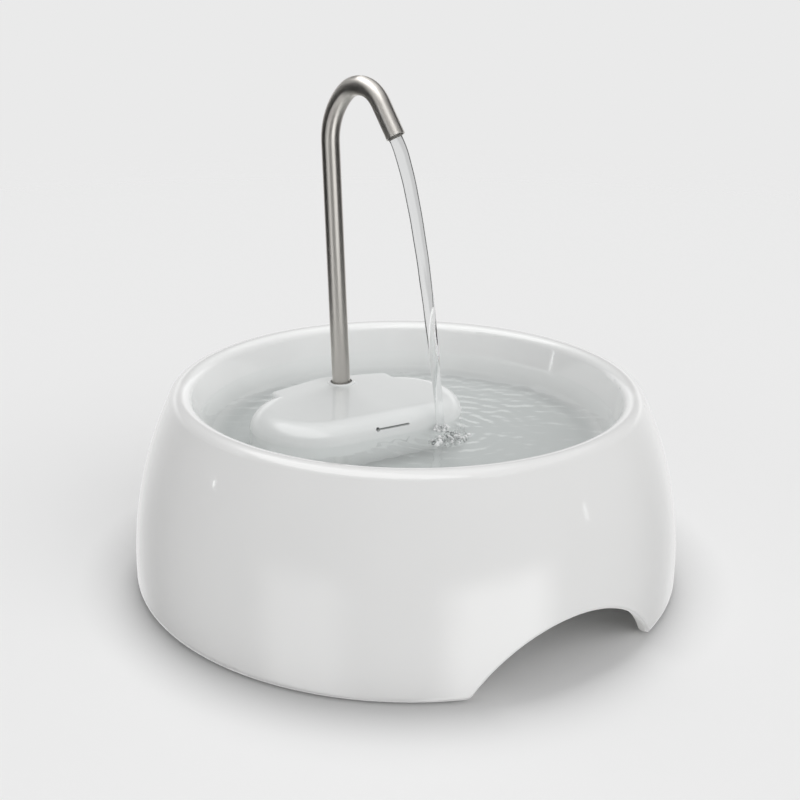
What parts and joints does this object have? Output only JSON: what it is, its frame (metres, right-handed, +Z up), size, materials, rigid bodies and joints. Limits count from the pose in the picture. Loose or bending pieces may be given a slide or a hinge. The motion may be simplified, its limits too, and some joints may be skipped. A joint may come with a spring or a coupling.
{
  "type": "pet water fountain",
  "caption": "Ceramic drinking bowl with a submersible pump under a lift-off hood and a swivelling gooseneck steel spout.",
  "frame": {"origin": "centre of the bowl on the surface it stands on", "axes": "+Z up along the bowl's axis, -Y towards the front, the side that the pet drinks from, +X to the right"},
  "size_m": [0.27, 0.27, 0.2395],
  "materials": {
    "glazed_ceramic": "gloss white glaze",
    "hood_plastic": "gloss white ABS",
    "spout_steel": "satin stainless steel",
    "silicone": "translucent white silicone, matt",
    "black_rubber": "matt black rubber",
    "pump_plastic": "satin black ABS",
    "filter_plastic": "satin white polypropylene",
    "ferrite": "ground ferrite",
    "stator_iron": "stamped electrical steel",
    "winding_copper": "enamelled copper wire",
    "board_laminate": "green laminate",
    "potting_resin": "cast black resin",
    "shaft_ceramic": "ground zirconia",
    "filter_foam": "open-cell foam",
    "carbon_felt": "carbon felt",
    "dial_plastic": "satin grey acetal"
  },
  "bodies": {
    "base": {"bowl": "glazed_ceramic", "tube_connector": "silicone", "pump_head": "pump_plastic", "head_seal": "black_rubber", "rotor_shaft": "shaft_ceramic", "shaft_bushes": "black_rubber", "pump_housing": "pump_plastic", "stator_core": "stator_iron", "stator_coils": "winding_copper", "control_board": "board_laminate", "potting_cap": "potting_resin", "cable_gland": "black_rubber", "suction_cups": "silicone", "intake_grille": "pump_plastic", "prefilter_foam": "filter_foam", "filter_frame": "filter_plastic", "carbon_pad": "carbon_felt", "filter_lid": "filter_plastic"},
    "cover": {"pump_cover": "hood_plastic"},
    "spout": {"spout_tube": "spout_steel"},
    "rotor": {"impeller": "filter_plastic", "rotor_magnet": "ferrite"},
    "dial": {"flow_dial": "dial_plastic"}
  },
  "joints": [
    {"name": "cover_lift", "type": "slide", "parent": "base", "child": "cover", "axis": [-0.0359, 0, 0.9994], "range_m": [0, 0.1]},
    {"name": "spout_swivel", "type": "hinge", "parent": "base", "child": "spout", "pos_m": [-0.03321, 0.01863, 0.0799], "axis": [-0.0359, 0, 0.9994], "range_deg": [-35, 90]},
    {"name": "rotor_spin", "type": "hinge", "parent": "base", "child": "rotor", "pos_m": [-0.02252, 0.01244, 0.0655], "axis": [0.8581, 0.5135, 0], "continuous": true},
    {"name": "flow_dial_turn", "type": "hinge", "parent": "base", "child": "dial", "pos_m": [-0.02252, 0.01244, 0.0655], "axis": [0.8581, 0.5135, 0], "range_deg": [0, 60]}
  ]
}
